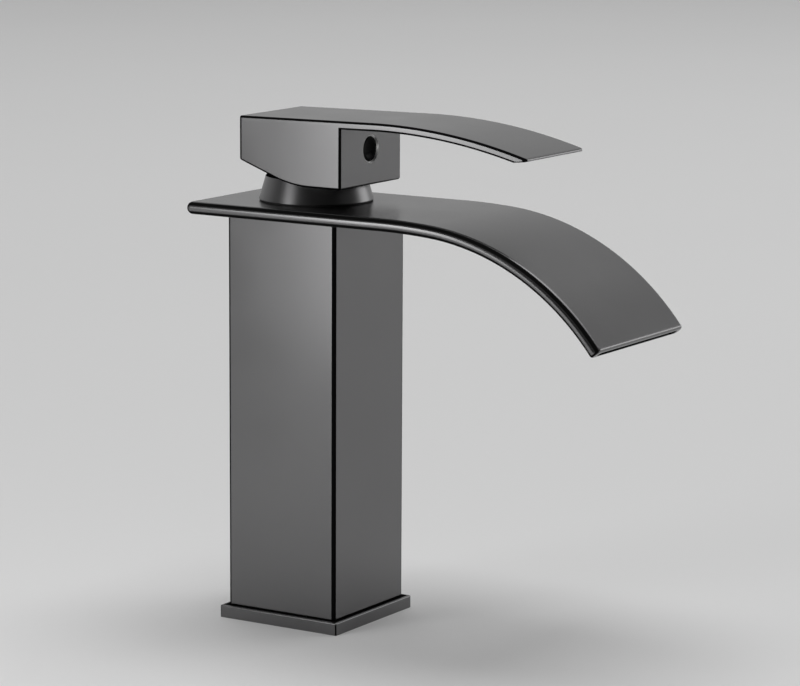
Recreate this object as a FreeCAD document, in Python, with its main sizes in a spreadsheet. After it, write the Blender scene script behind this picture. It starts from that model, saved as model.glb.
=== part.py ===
import FreeCAD, Part
import math
import operator
import os
from types import SimpleNamespace

import Sketcher

# A single-lever basin mixer with a square column and a flat waterfall spout, in millimetres.
# The origin is the centre of the base plate's underside, which lies on the deck. +Z is up, and
# the spout and the lever point to -Y. Everything is at rest: lever level, closed and facing front.

SIZES = {
    # How far every cutting tool runs past the face that it cuts.
    "overrun": 1.0,
    # Base plate and its gasket.
    "base_margin": 2.2,
    "base_height": 4.5,
    "base_edge_radius": 0.5,
    "base_opening_radius": 16.5,
    "gasket_margin": 2.0,
    "gasket_width": 4.5,
    "gasket_height": 2.0,
    "gasket_clearance": 0.1,
    # Column, and the gap that braze fills round the blocks inside it.
    "column_width": 45.6,
    "column_height": 142.1,
    "column_wall": 2.3,
    "column_edge_radius": 1.2,
    "braze_gap": 0.1,
    # Foot block, with the way for the hoses and the thread of the stud.
    "foot_height": 9.0,
    "foot_spigot_length": 3.5,
    "foot_spigot_clearance": 0.15,
    "hose_way_radius": 6.3,
    "thread_clearance": 0.05,
    # Valve body: the wall round the nut's thread, the floor under the seat and the waterways.
    "valve_wall": 1.6,
    "valve_floor": 17.0,
    "seat_clearance": 0.1,
    "port_radius": 4.5,
    "port_depth": 12.0,
    "inlet_radius": 3.0,
    "inlet_across": 6.5,
    "inlet_forward": 6.5,
    "outlet_radius": 3.5,
    "outlet_back": 6.5,
    "outlet_depth": 7.0,
    "riser_radius": 2.8,
    "riser_inset": 4.1,
    "gallery_radius": 3.0,
    "gallery_end": 0.3,
    # Spout: a straight run over the column, a gentle lead-in and the bend, with a flat duct inside.
    "spout_side_reach": 7.8,
    "spout_rear_reach": 12.9,
    "spout_thickness": 4.6,
    "spout_run": 22.5,
    "lead_radius": 226.8,
    "lead_angle": 5.0,
    "bend_radius": 92.8,
    "bend_angle": 46.7,
    "tip_run": 1.5,
    "tip_edge_radius": 1.0,
    "duct_height": 2.0,
    "duct_side_wall": 3.0,
    "duct_rear_wall": 9.7,
    "duct_ring_wall": 1.8,
    "spout_hole_clearance": 0.2,
    # Cartridge nut, with a collar that the shroud screws on.
    "nut_step": 1.0,
    "nut_engagement": 5.6,
    "nut_stand": 0.4,
    "collar_step": 1.3,
    "collar_rise": 4.8,
    "nut_bore_clearance": 0.3,
    "nut_slot_width": 3.0,
    "nut_slot_depth": 2.5,
    # Shroud, the cone under the lever, and the ring under its foot.
    "shroud_seal_height": 0.4,
    "shroud_seal_inset": 0.5,
    "shroud_foot_wall": 2.95,
    "shroud_top_inset": 2.2,
    "shroud_height": 8.7,
    "shroud_lip_clearance": 1.2,
    "shroud_rim_width": 0.4,
    "shroud_ledge_gap": 0.2,
    # Cartridge housing, rotor and pivot pin.
    "shoulder_width": 2.9,
    "housing_wall": 1.6,
    "neck_wall": 2.45,
    "rotor_clearance": 0.05,
    "rotor_lift": 0.1,
    "rotor_foot_height": 2.0,
    "rotor_foot_clearance": 0.3,
    "rotor_gap": 0.3,
    "rotor_rise": 4.0,
    "rotor_slot_clearance": 0.1,
    "rotor_slot_end": 0.5,
    "pivot_rise": 2.4,
    "pin_radius": 1.5,
    "pin_clearance": 0.05,
    "pin_inset": 0.6,
    # Ceramic discs and the slide that carries the moving one.
    "lift_angle": 22.0,
    "carrier_plate": 1.3,
    "carrier_rim_height": 1.0,
    "carrier_rim_width": 0.65,
    "carrier_clearance": 0.05,
    "carrier_travel_gap": 0.5,
    "boss_side_wall": 1.1,
    "boss_end_wall": 1.5,
    "boss_rise": 1.2,
    "moving_disc_height": 3.2,
    "mixing_radius": 7.4,
    "mixing_back": 5.0,
    "mixing_depth": 1.6,
    "disc_film": 0.02,
    "fixed_disc_height": 4.0,
    "fixed_disc_clearance": 0.5,
    "key_width": 4.0,
    "key_depth": 1.6,
    "key_height": 2.5,
    "key_clearance": 0.1,
    # Cartridge base, its locating pegs and the port seals above and below it.
    "base_step_height": 2.5,
    "base_spigot_height": 3.3,
    "base_clearance": 0.2,
    "peg_radius": 2.3,
    "peg_length": 3.5,
    "peg_across": 10.0,
    "peg_back": 4.0,
    "peg_clearance": 0.1,
    "seal_radius": 4.5,
    "seal_wall": 1.0,
    "seal_pocket": 1.8,
    "seal_proud": 0.2,
    "seal_clearance": 0.1,
    # Stem: a square bar above the pin, an eye round it and a thin arm with a round foot below it.
    "stem_width": 8.0,
    "stem_roof_gap": 2.4,
    "stem_eye_radius": 4.0,
    "stem_eye_clearance": 0.2,
    "stem_arm": 11.5,
    "arm_thickness": 3.6,
    "paddle_radius": 2.5,
    "paddle_width": 7.6,
    "paddle_clearance": 0.2,
    "paddle_floor_gap": 0.4,
    # Lever: a hollow block over the shroud and a thin blade that curves down to its tip.
    "block_gap": 6.9,
    "block_rise": 30.64,
    "block_front_wall": 6.6,
    "block_rear_wall": 3.3,
    "block_roof": 3.4,
    "lever_edge_radius": 0.45,
    "sole_flat_end": 10.2,
    "sole_radius": 44.0,
    "sole_angle": 20.0,
    "relief_clearance": 0.9,
    "relief_skirt": 0.6,
    "relief_shift": 1.5,
    "relief_height": 5.5,
    "relief_step": 2.5,
    "top_angle": 0.705,
    "blade_start": 12.5,
    "blade_radius": 215.0,
    "blade_reach": 74.3,
    "blade_thickness": 2.95,
    "blade_tip_height": 1.0,
    "blade_undercut": 5.3,
    # Socket for the stem, its set screw and the plug over the screw.
    "socket_wall": 3.0,
    "socket_length": 13.0,
    "socket_clearance": 0.05,
    "socket_end_clearance": 0.2,
    "screw_rise": 12.8,
    "screw_radius": 3.0,
    "screw_length": 10.0,
    "screw_boss_wall": 2.5,
    "screw_key_radius": 1.7,
    "screw_key_depth": 3.0,
    "plug_radius": 4.4,
    "plug_height": 1.6,
    "plug_recess": 0.9,
    "plug_clearance": 0.05,
    "plug_dish_radius": 3.4,
    "plug_dish_depth": 0.5,
    "plug_stem_length": 3.0,
    "plug_stem_clearance": 0.1,
    # Fixing set below the deck.
    "deck_thickness": 20.0,
    "stud_radius": 4.0,
    "stud_back": 10.5,
    "stud_tail": 9.0,
    "stud_chamfer": 0.8,
    "washer_radius": 24.0,
    "washer_height": 3.0,
    "clamp_radius": 23.0,
    "clamp_height": 2.5,
    "fixing_nut_radius": 7.5,
    "fixing_nut_height": 10.0,
}

doc = FreeCAD.newDocument("basin_mixer")
sheet = doc.addObject("Spreadsheet::Sheet", "Sizes")
for row, (alias, number) in enumerate(SIZES.items(), start=1):
    sheet.set(f"A{row}", alias)
    sheet.set(f"B{row}", str(number))
    sheet.setAlias(f"B{row}", alias)
doc.recompute()

SIGNS = {"+": operator.add, "-": operator.sub, "*": operator.mul, "/": operator.truediv}


class Size:
    """A size of the sheet, or a sum of some: its value now, and the formula that binds it."""

    def __init__(self, value, formula):
        self.value = value
        self.formula = formula

    def __add__(self, other):
        return joined(self, "+", other)

    def __radd__(self, other):
        return joined(other, "+", self)

    def __sub__(self, other):
        return joined(self, "-", other)

    def __rsub__(self, other):
        return joined(other, "-", self)

    def __mul__(self, other):
        return joined(self, "*", other)

    def __rmul__(self, other):
        return joined(other, "*", self)

    def __truediv__(self, other):
        return joined(self, "/", other)

    def __neg__(self):
        return joined(0, "-", self)


def as_size(number):
    return number if isinstance(number, Size) else Size(float(number), str(number))


def joined(first, sign, second):
    first, second = as_size(first), as_size(second)
    value = SIGNS[sign](first.value, second.value)
    return Size(value, f"({first.formula} {sign} {second.formula})")


def sine(angle):
    return Size(math.sin(math.radians(angle.value)), f"sin({angle.formula})")


def cosine(angle):
    return Size(math.cos(math.radians(angle.value)), f"cos({angle.formula})")


def tangent(angle):
    return sine(angle) / cosine(angle)


def root(size):
    return Size(math.sqrt(size.value), f"sqrt({size.formula})")


s = SimpleNamespace(**{alias: Size(float(sheet.get(alias)), f"Sizes.{alias}") for alias in SIZES})


# Sketches and solids, each bound to the sheet.


def bind(sketch, constraint, size):
    index = sketch.addConstraint(constraint)
    sketch.setExpression(f"Constraints[{index}]", size.formula)


def pin_point(sketch, index, end, place):
    for kind, axis, size in (("DistanceX", -2, place[0]), ("DistanceY", -1, place[1])):
        if size.value == 0:
            sketch.addConstraint(Sketcher.Constraint("PointOnObject", index, end, axis))
        else:
            bind(sketch, Sketcher.Constraint(kind, index, end, size.value), size)


def arc_between(start, stop, radius, turn):
    """The short arc from start to stop: turn 1 runs anticlockwise, -1 clockwise."""
    chord = stop - start
    rise = math.sqrt(max(radius**2 - (chord.Length / 2) ** 2, 0))
    left = FreeCAD.Vector(-chord.y, chord.x, 0).normalize()
    centre = (start + stop) / 2 + left * (rise * turn)
    first, last = (start, stop) if turn > 0 else (stop, start)
    angles = [math.atan2(p.y - centre.y, p.x - centre.x) for p in (first, last)]
    if angles[1] < angles[0]:
        angles[1] += 2 * math.pi
    return Part.ArcOfCircle(Part.Circle(centre, FreeCAD.Vector(0, 0, 1), radius), *angles)


def draw(sketch, points, closed=True):
    """Lines through points (across, up). A point (across, up, radius, turn) starts an arc."""
    places = [(as_size(point[0]), as_size(point[1])) for point in points]
    corners = [FreeCAD.Vector(place[0].value, place[1].value, 0) for place in places]
    spans = []
    for i in range(len(points) if closed else len(points) - 1):
        start, stop = corners[i], corners[(i + 1) % len(points)]
        if len(points[i]) == 2:
            spans.append((sketch.addGeometry(Part.LineSegment(start, stop)), 1, 2))
            continue
        radius, turn = points[i][2:]
        index = sketch.addGeometry(arc_between(start, stop, radius.value, turn))
        bind(sketch, Sketcher.Constraint("Radius", index, radius.value), radius)
        spans.append((index, 1, 2) if turn > 0 else (index, 2, 1))
    for this, following in zip(spans, spans[1:] + spans[: int(closed)]):
        joint = Sketcher.Constraint("Coincident", this[0], this[2], following[0], following[1])
        sketch.addConstraint(joint)
    for span, place in zip(spans, places):
        pin_point(sketch, span[0], span[1], place)
    if not closed:
        pin_point(sketch, spans[-1][0], spans[-1][2], places[-1])


def sketch_on(body, name, role, points, lift=None, closed=True):
    sketch = body.newObject("Sketcher::SketchObject", name)
    plane = next(item for item in body.Origin.OriginFeatures if item.Role == role)
    sketch.AttachmentSupport = [(plane, "")]
    sketch.MapMode = "FlatFace"
    if lift is not None:
        sketch.setExpression("AttachmentOffset.Base.z", lift.formula)
    draw(sketch, points, closed)
    return sketch


def padded(name, role, points, length, lift=None):
    """A body with one outline padded: up from lift, or to both sides where lift is left out."""
    body = doc.addObject("PartDesign::Body", name)
    pad = body.newObject("PartDesign::Pad", f"{name}_pad")
    pad.Profile = sketch_on(body, f"{name}_outline", role, points, lift)
    pad.setExpression("Length", length.formula)
    pad.SideType = "One side" if lift is not None else "Symmetric"
    return body


def revolved(name, points):
    """A body of revolution about Z, from its half section."""
    body = doc.addObject("PartDesign::Body", name)
    sketch = sketch_on(body, f"{name}_section", "XZ_Plane", points)
    spin = body.newObject("PartDesign::Revolution", f"{name}_spin")
    spin.Profile = sketch
    spin.ReferenceAxis = (sketch, ["V_Axis"])
    spin.Angle = 360
    return body


def swept(name, section, start, path):
    """A section on the XZ plane, moved back to start, swept along an open path on the YZ plane."""
    body = doc.addObject("PartDesign::Body", name)
    spine = sketch_on(body, f"{name}_path", "YZ_Plane", path, closed=False)
    profile = sketch_on(body, f"{name}_section", "XZ_Plane", section, lift=-start)
    doc.recompute()
    pipe = body.newObject("PartDesign::AdditivePipe", f"{name}_pipe")
    pipe.Profile = profile
    pipe.Spine = (spine, [f"Edge{i + 1}" for i in range(len(spine.Geometry))])
    return body


def rounded(body, radius, wanted):
    """Round the edges of the body's last feature that wanted picks."""
    doc.recompute()
    base = body.Tip
    names = [f"Edge{i}" for i, edge in enumerate(base.Shape.Edges, start=1) if wanted(edge)]
    fillet = body.newObject("PartDesign::Fillet", f"{body.Name}_rounding")
    fillet.Base = (base, names)
    fillet.setExpression("Radius", radius.formula)
    return body


def put(shape, place):
    for axis, size in zip("xyz", place):
        shape.setExpression(f"Placement.Base.{axis}", as_size(size).formula)


def box(name, low, high):
    shape = doc.addObject("Part::Box", name)
    for side, first, last in zip(("Length", "Width", "Height"), low, high):
        shape.setExpression(side, as_size(last - first).formula)
    put(shape, low)
    return shape


TURNS = {
    "X": FreeCAD.Rotation(FreeCAD.Vector(0, 1, 0), 90),
    "Y": FreeCAD.Rotation(FreeCAD.Vector(1, 0, 0), -90),
    "Z": FreeCAD.Rotation(),
}


def along(axis, low, across):
    """The point at low on an axis and at across on the other two, in X, Y, Z order."""
    place = list(across)
    place.insert("XYZ".index(axis), low)
    return place


def rod(name, radius, low, high, across=(0, 0), axis="Z"):
    shape = doc.addObject("Part::Cylinder", name)
    shape.Placement.Rotation = TURNS[axis]
    shape.setExpression("Radius", radius.formula)
    shape.setExpression("Height", as_size(high - low).formula)
    put(shape, along(axis, low, across))
    return shape


def hexagon(name, radius, low, high, across, axis="Z"):
    shape = doc.addObject("Part::Prism", name)
    shape.Placement.Rotation = TURNS[axis]
    shape.Polygon = 6
    shape.setExpression("Circumradius", radius.formula)
    shape.setExpression("Height", as_size(high - low).formula)
    put(shape, along(axis, low, across))
    return shape


def fused(name, *shapes):
    result = doc.addObject("Part::MultiFuse", name)
    result.Shapes = list(shapes)
    result.Refine = True
    return result


def cut(name, base, *tools):
    result = doc.addObject("Part::Cut", name)
    result.Base = base
    result.Tool = tools[0] if len(tools) == 1 else fused(f"{name}_tools", *tools)
    return result


def shared(name, first, second):
    result = doc.addObject("Part::Common", name)
    result.Base = first
    result.Tool = second
    return result


def group(name, *shapes):
    result = doc.addObject("Part::Compound", name)
    result.Links = list(shapes)
    return result


def tube(name, inner, outer, low, high, across=(0, 0)):
    hole = rod(f"{name}_hole", inner, low - s.overrun, high + s.overrun, across)
    return cut(name, rod(f"{name}_rod", outer, low, high, across), hole)


def square(half):
    return [(-half, -half), (half, -half), (half, half), (-half, half)]


def hose_way(name, low, high):
    """The oblong opening that both hoses pass through."""
    radius, x, y = s.hose_way_radius, s.inlet_across, -s.inlet_forward
    middle = box(f"{name}_middle", (-x, y - radius, low), (x, y + radius, high))
    ends = [rod(f"{name}_end", radius, low, high, (side * x, y)) for side in (-1, 1)]
    return fused(name, middle, *ends)


# Heights and radii that several pieces share, from the deck up and from the column in.

column_half = s.column_width / 2
column_top = s.base_height + s.column_height
column_inside = column_half - s.column_wall
insert_half = column_inside - s.braze_gap
foot_top = s.base_height + s.foot_height

spout_half = column_half + s.spout_side_reach
spout_mid = column_top + s.spout_thickness / 2
spout_top = column_top + s.spout_thickness
spout_rear = column_half + s.spout_rear_reach

nut_radius = insert_half - s.valve_wall
cartridge_radius = nut_radius - s.nut_step
neck_radius = cartridge_radius - s.shoulder_width
neck_bore = neck_radius - s.neck_wall
housing_inside = cartridge_radius - s.housing_wall
collar_radius = nut_radius - s.collar_step
collar_top = spout_top + s.collar_rise
shoulder = column_top - s.nut_engagement

shroud_foot = spout_top + s.shroud_seal_height
shroud_top = shroud_foot + s.shroud_height
shroud_bore = collar_radius + s.thread_clearance
shroud_foot_radius = shroud_bore + s.shroud_foot_wall
shroud_top_radius = shroud_foot_radius - s.shroud_top_inset

# The cartridge hangs from its pivot pin: stem foot, slide, moving disc, fixed disc and base.
pivot = column_top + s.pivot_rise
rotor_top = pivot + s.rotor_rise
paddle = pivot - s.stem_arm
plate_top = paddle - s.paddle_radius - s.paddle_floor_gap
rotor_bottom = plate_top + s.rotor_gap
rotor_foot_top = rotor_bottom + s.rotor_foot_height
moving_top = plate_top - s.carrier_plate
moving_bottom = moving_top - s.moving_disc_height
fixed_top = moving_bottom - s.disc_film
fixed_bottom = fixed_top - s.fixed_disc_height
base_top = fixed_bottom - s.seal_proud
flange_top = base_top - s.base_spigot_height
base_bottom = flange_top - s.base_step_height
seat_floor = base_bottom - s.seal_proud
valve_bottom = seat_floor - s.valve_floor


def tipped_stem(height):
    """How far back the stem's rear face reaches at full lift, at a height over the pivot."""
    return stem_half / cosine(s.lift_angle) + height * tangent(s.lift_angle)


stem_half = s.stem_width / 2
disc_travel = s.stem_arm * sine(s.lift_angle)
carrier_radius = housing_inside - disc_travel / 2 - s.carrier_travel_gap
moving_radius = carrier_radius - s.carrier_rim_width - s.carrier_clearance
paddle_half = s.paddle_width / 2
pocket_across = paddle_half + s.paddle_clearance
pocket_along = s.paddle_radius + s.paddle_clearance
boss_across = pocket_across + s.boss_side_wall
boss_along = pocket_along + s.boss_end_wall
slot_across = boss_across + s.rotor_slot_clearance

inlets = [(side * s.inlet_across, -s.inlet_forward) for side in (-1, 1)]
outlet = (as_size(0), s.outlet_back)
pegs = [(side * s.peg_across, s.peg_back) for side in (-1, 1)]


# Base plate: a square plate with softened edges, opened for the hoses, grooved for its gasket.

gasket_inner = s.base_opening_radius + s.gasket_margin
gasket_outer = gasket_inner + s.gasket_width
base_half = column_half + s.base_margin

plate = padded("base_plate_blank", "XY_Plane", square(base_half), s.base_height, as_size(0))
rounded(plate, s.base_edge_radius, lambda edge: edge.BoundBox.ZMax > s.base_height.value / 2)
opening = rod("base_opening", s.base_opening_radius, -s.overrun, s.base_height + s.overrun)
groove = tube(
    "gasket_groove",
    gasket_inner - s.gasket_clearance,
    gasket_outer + s.gasket_clearance,
    -s.overrun,
    s.gasket_height,
)
cut("base_plate", plate, opening, groove)
tube("base_gasket", gasket_inner, gasket_outer, as_size(0), s.gasket_height)


# Column: a square tube with softened corners.

column_blank = padded("column_blank", "XY_Plane", square(column_half), s.column_height, s.base_height)
rounded(column_blank, s.column_edge_radius, lambda edge: edge.BoundBox.ZLength > s.column_height.value / 2)
column_hollow = box(
    "column_hollow",
    (-column_inside, -column_inside, s.base_height - s.overrun),
    (column_inside, column_inside, column_top + s.overrun),
)
cut("column", column_blank, column_hollow)


# Foot block: brazed into the column's foot, with a spigot that centres the base plate.

stud_place = (as_size(0), s.stud_back)
spigot_bottom = s.base_height - s.foot_spigot_length
foot_blank = fused(
    "foot_blank",
    box("foot_slab", (-insert_half, -insert_half, s.base_height), (insert_half, insert_half, foot_top)),
    rod("foot_spigot", s.base_opening_radius - s.foot_spigot_clearance, spigot_bottom, foot_top),
)
cut(
    "foot_block",
    foot_blank,
    hose_way("foot_hose_way", spigot_bottom - s.overrun, foot_top + s.overrun),
    rod(
        "stud_thread",
        s.stud_radius + s.thread_clearance,
        spigot_bottom - s.overrun,
        foot_top + s.overrun,
        stud_place,
    ),
)


# Valve body: brazed into the column's head. The hoses screw in from below, and the mixed water
# leaves through the floor, along a gallery and up two risers into the spout.

riser_place = insert_half - s.riser_inset
gallery = seat_floor - s.outlet_depth
gallery_half = riser_place + s.riser_radius + s.gallery_end
valve_tools = [
    rod("seat_bore", cartridge_radius + s.seat_clearance, seat_floor, column_top + s.overrun),
    rod("nut_bore", nut_radius + s.thread_clearance, shoulder, column_top + s.overrun),
    rod("outlet_bore", s.outlet_radius, gallery, seat_floor + s.overrun, outlet),
    rod("gallery_back", s.riser_radius, s.outlet_back, riser_place, (as_size(0), gallery), "Y"),
    rod("gallery_across", s.gallery_radius, -gallery_half, gallery_half, (riser_place, gallery), "X"),
]
for side, place in zip((-1, 1), inlets):
    port_top = valve_bottom + s.port_depth
    valve_tools += [
        rod("hose_port", s.port_radius, valve_bottom - s.overrun, port_top, place),
        rod("inlet_bore", s.inlet_radius, valve_bottom, seat_floor + s.overrun, place),
        rod("riser", s.riser_radius, gallery, column_top + s.overrun, (side * riser_place, riser_place)),
    ]
for place in pegs:
    peg_floor = base_bottom - s.peg_length - s.peg_clearance
    hole_radius = s.peg_radius + s.peg_clearance
    valve_tools.append(rod("peg_hole", hole_radius, peg_floor, seat_floor + s.overrun, place))
valve_blank = box(
    "valve_blank", (-insert_half, -insert_half, valve_bottom), (insert_half, insert_half, column_top)
)
cut("valve_body", valve_blank, *valve_tools)


# Spout: the side view padded across, shared with a round-edged section swept along the same line,
# so that its sides and rear are full round and meet in a mitre. The duct is open at the tip.

bend_end = s.lead_angle + s.bend_angle
run_y = -(column_half + s.spout_run)
lead_y = run_y - s.lead_radius * sine(s.lead_angle)
lead_z = spout_mid - s.lead_radius * (1 - cosine(s.lead_angle))
bend_y = lead_y - s.bend_radius * (sine(bend_end) - sine(s.lead_angle))
bend_z = lead_z - s.bend_radius * (cosine(s.lead_angle) - cosine(bend_end))
spout_edge = s.spout_thickness / 2


def past_bend(onward, outward):
    """A point of the straight tip: onward from the bend's end, and outward from the middle line."""
    y = bend_y - onward * cosine(bend_end) - outward * sine(bend_end)
    z = bend_z - onward * sine(bend_end) + outward * cosine(bend_end)
    return y, z


def spout_points(outward):
    """Where the spout's run, lead-in and bend end, outward from its middle line."""
    return (
        (run_y, spout_mid + outward),
        (lead_y - outward * sine(s.lead_angle), lead_z + outward * cosine(s.lead_angle)),
        past_bend(as_size(0), outward),
    )


def spout_path(rear):
    run, lead, bend = spout_points(as_size(0))
    end = past_bend(s.tip_run + s.overrun, as_size(0))
    return [(rear, spout_mid), (*run, s.lead_radius, 1), (*lead, s.bend_radius, 1), bend, end]


upper, lower = spout_points(spout_edge), spout_points(-spout_edge)
lip_start, lip_half = s.tip_run - s.tip_edge_radius, spout_edge - s.tip_edge_radius
rear_flat = spout_rear - spout_edge
spout_side = padded(
    "spout_side",
    "YZ_Plane",
    [
        (rear_flat, spout_top),
        (*upper[0], s.lead_radius + spout_edge, 1),
        (*upper[1], s.bend_radius + spout_edge, 1),
        upper[2],
        (*past_bend(lip_start, spout_edge), s.tip_edge_radius, 1),
        past_bend(s.tip_run, lip_half),
        (*past_bend(s.tip_run, -lip_half), s.tip_edge_radius, 1),
        past_bend(lip_start, -spout_edge),
        (*lower[2], s.bend_radius - spout_edge, -1),
        (*lower[1], s.lead_radius - spout_edge, -1),
        lower[0],
        (rear_flat, column_top, spout_edge, 1),
        (spout_rear, spout_mid, spout_edge, 1),
    ],
    2 * spout_half,
)
flat_half = spout_half - spout_edge
spout_band = swept(
    "spout_band",
    [
        (-flat_half, column_top),
        (flat_half, column_top, spout_edge, 1),
        (spout_half, spout_mid, spout_edge, 1),
        (flat_half, spout_top),
        (-flat_half, spout_top, spout_edge, 1),
        (-spout_half, spout_mid, spout_edge, 1),
    ],
    spout_rear + s.overrun,
    spout_path(spout_rear + s.overrun),
)
duct_half = spout_half - s.duct_side_wall
duct_low = spout_mid - s.duct_height / 2
duct_high = spout_mid + s.duct_height / 2
duct_rear = spout_rear - s.duct_rear_wall
duct_band = swept(
    "duct_band",
    [(-duct_half, duct_low), (duct_half, duct_low), (duct_half, duct_high), (-duct_half, duct_high)],
    duct_rear,
    spout_path(duct_rear),
)
spout_hole_radius = nut_radius + s.spout_hole_clearance
duct_ring = rod("duct_ring", spout_hole_radius + s.duct_ring_wall, column_top, spout_top)
spout_tools = [
    cut("duct", duct_band, duct_ring),
    rod("spout_hole", spout_hole_radius, column_top - s.overrun, spout_top + s.overrun),
]
for side in (-1, 1):
    feed_place = (side * riser_place, riser_place)
    spout_tools.append(rod("spout_feed", s.riser_radius, column_top - s.overrun, spout_mid, feed_place))
cut("spout", shared("spout_blank", spout_side, spout_band), *spout_tools)


# Cartridge nut: its thread holds the cartridge by the shoulder, its collar carries the shroud.

nut_bore = neck_radius + s.nut_bore_clearance
thread_top = column_top + s.nut_stand
nut_blank = revolved(
    "nut_blank",
    [
        (nut_bore, shoulder),
        (nut_radius, shoulder),
        (nut_radius, thread_top),
        (collar_radius, thread_top),
        (collar_radius, collar_top),
        (nut_bore, collar_top),
    ],
)
slot_reach = collar_radius + s.overrun
slot_half = s.nut_slot_width / 2
slot_low, slot_high = collar_top - s.nut_slot_depth, collar_top + s.overrun
cut(
    "cartridge_nut",
    nut_blank,
    box("nut_slot_x", (-slot_reach, -slot_half, slot_low), (slot_reach, slot_half, slot_high)),
    box("nut_slot_y", (-slot_half, -slot_reach, slot_low), (slot_half, slot_reach, slot_high)),
)


# Shroud: a cone with a softened rim, screwed on the nut's collar over a thin ring.

ledge = collar_top + s.shroud_ledge_gap
mouth_back = tipped_stem(shroud_top - pivot)
lip_radius = root(mouth_back * mouth_back + stem_half * stem_half) + s.shroud_lip_clearance
slant = root(s.shroud_top_inset * s.shroud_top_inset + s.shroud_height * s.shroud_height)
rim_out = shroud_top_radius + s.shroud_rim_width * s.shroud_top_inset / slant
rim_down = shroud_top - s.shroud_rim_width * s.shroud_height / slant
revolved(
    "shroud",
    [
        (shroud_bore, shroud_foot),
        (shroud_foot_radius, shroud_foot),
        (rim_out, rim_down),
        (shroud_top_radius - s.shroud_rim_width, shroud_top),
        (lip_radius, shroud_top),
        (lip_radius, ledge),
        (shroud_bore, ledge),
    ],
)
seal_outer = shroud_foot_radius - s.shroud_seal_inset
tube("shroud_seal", spout_hole_radius, seal_outer, spout_top, shroud_foot)


# Cartridge housing: a stepped cup, open below, with the rotor's bearing in its neck.

housing_roof = rotor_foot_top + s.rotor_lift
revolved(
    "cartridge_housing",
    [
        (housing_inside, flange_top),
        (cartridge_radius, flange_top),
        (cartridge_radius, shoulder),
        (neck_radius, shoulder),
        (neck_radius, rotor_top),
        (neck_bore, rotor_top),
        (neck_bore, housing_roof),
        (housing_inside, housing_roof),
    ],
)


# Cartridge base: flange and spigot with three ports, two pegs below and two keys for the disc.

spigot_radius = housing_inside - s.base_clearance
base_parts = [
    rod("base_flange", cartridge_radius, base_bottom, flange_top),
    rod("base_spigot", spigot_radius, base_bottom, base_top),
]
for place in pegs:
    base_parts.append(rod("peg", s.peg_radius, base_bottom - s.peg_length, base_top, place))
key_half = s.key_width / 2
key_top = base_top + s.key_height
key_in = spigot_radius - s.key_depth
key_out = key_in + s.key_depth - s.key_clearance
for low, high in ((key_in, key_out), (-key_out, -key_in)):
    base_parts.append(box("disc_key", (low, -key_half, base_bottom), (high, key_half, key_top)))

pocket_radius = s.seal_radius + s.seal_clearance
base_tools, base_rings, disc_rings, disc_ports = [], [], [], []
for place, radius in ((inlets[0], s.inlet_radius), (inlets[1], s.inlet_radius), (outlet, s.outlet_radius)):
    low_roof = base_bottom + s.seal_pocket
    high_floor = base_top - s.seal_pocket
    ring = s.seal_radius - s.seal_wall
    base_tools += [
        rod("base_port", radius, base_bottom - s.overrun, base_top + s.overrun, place),
        rod("lower_pocket", pocket_radius, base_bottom - s.overrun, low_roof, place),
        rod("upper_pocket", pocket_radius, high_floor, base_top + s.overrun, place),
    ]
    base_rings.append(tube("base_seal", ring, s.seal_radius, seat_floor, low_roof, place))
    disc_rings.append(tube("disc_seal", ring, s.seal_radius, high_floor, fixed_bottom, place))
    disc_ports.append(rod("disc_port", radius, fixed_bottom - s.overrun, fixed_top + s.overrun, place))
cut("cartridge_base", fused("base_blank", *base_parts), *base_tools)
group("base_seals", *base_rings)
group("disc_seals", *disc_rings)


# Fixed disc: polished ceramic with the three ports, notched over the keys of the base.

disc_radius = housing_inside - s.fixed_disc_clearance
notch_half = key_half + s.key_clearance
notch_in = key_in - s.key_clearance
notch_low, notch_high = fixed_bottom - s.overrun, fixed_top + s.overrun
for low, high in ((notch_in, disc_radius + s.overrun), (-disc_radius - s.overrun, -notch_in)):
    disc_ports.append(box("disc_notch", (low, -notch_half, notch_low), (high, notch_half, notch_high)))
cut("fixed_disc", rod("fixed_disc_blank", disc_radius, fixed_bottom, fixed_top), *disc_ports)


# Moving disc: closed at rest, half its travel behind the axis, with the mixing pocket below.

moving_place = (as_size(0), disc_travel / 2)
mixing_place = (as_size(0), s.mixing_back)
mixing_roof = moving_bottom + s.mixing_depth
cut(
    "moving_disc",
    rod("moving_disc_blank", moving_radius, moving_bottom, moving_top, moving_place),
    rod("mixing_pocket", s.mixing_radius, moving_bottom - s.overrun, mixing_roof, mixing_place),
)


# Disc carrier: a plate with a rim round the moving disc and a boss that the stem's foot works in.

carrier_bottom = moving_top - s.carrier_rim_height
boss_top = paddle + s.boss_rise
carrier_blank = fused(
    "carrier_blank",
    rod("carrier_plate_blank", carrier_radius, carrier_bottom, plate_top, moving_place),
    box("carrier_boss", (-boss_across, -boss_along, moving_top), (boss_across, boss_along, boss_top)),
)
cut(
    "disc_carrier",
    carrier_blank,
    rod(
        "carrier_recess",
        moving_radius + s.carrier_clearance,
        carrier_bottom - s.overrun,
        moving_top,
        moving_place,
    ),
    box(
        "paddle_pocket",
        (-pocket_across, -pocket_along, plate_top),
        (pocket_across, pocket_along, boss_top + s.overrun),
    ),
)


# Rotor: turns in the housing's neck. Its slot guides the carrier's boss and lets the stem tip.

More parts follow.
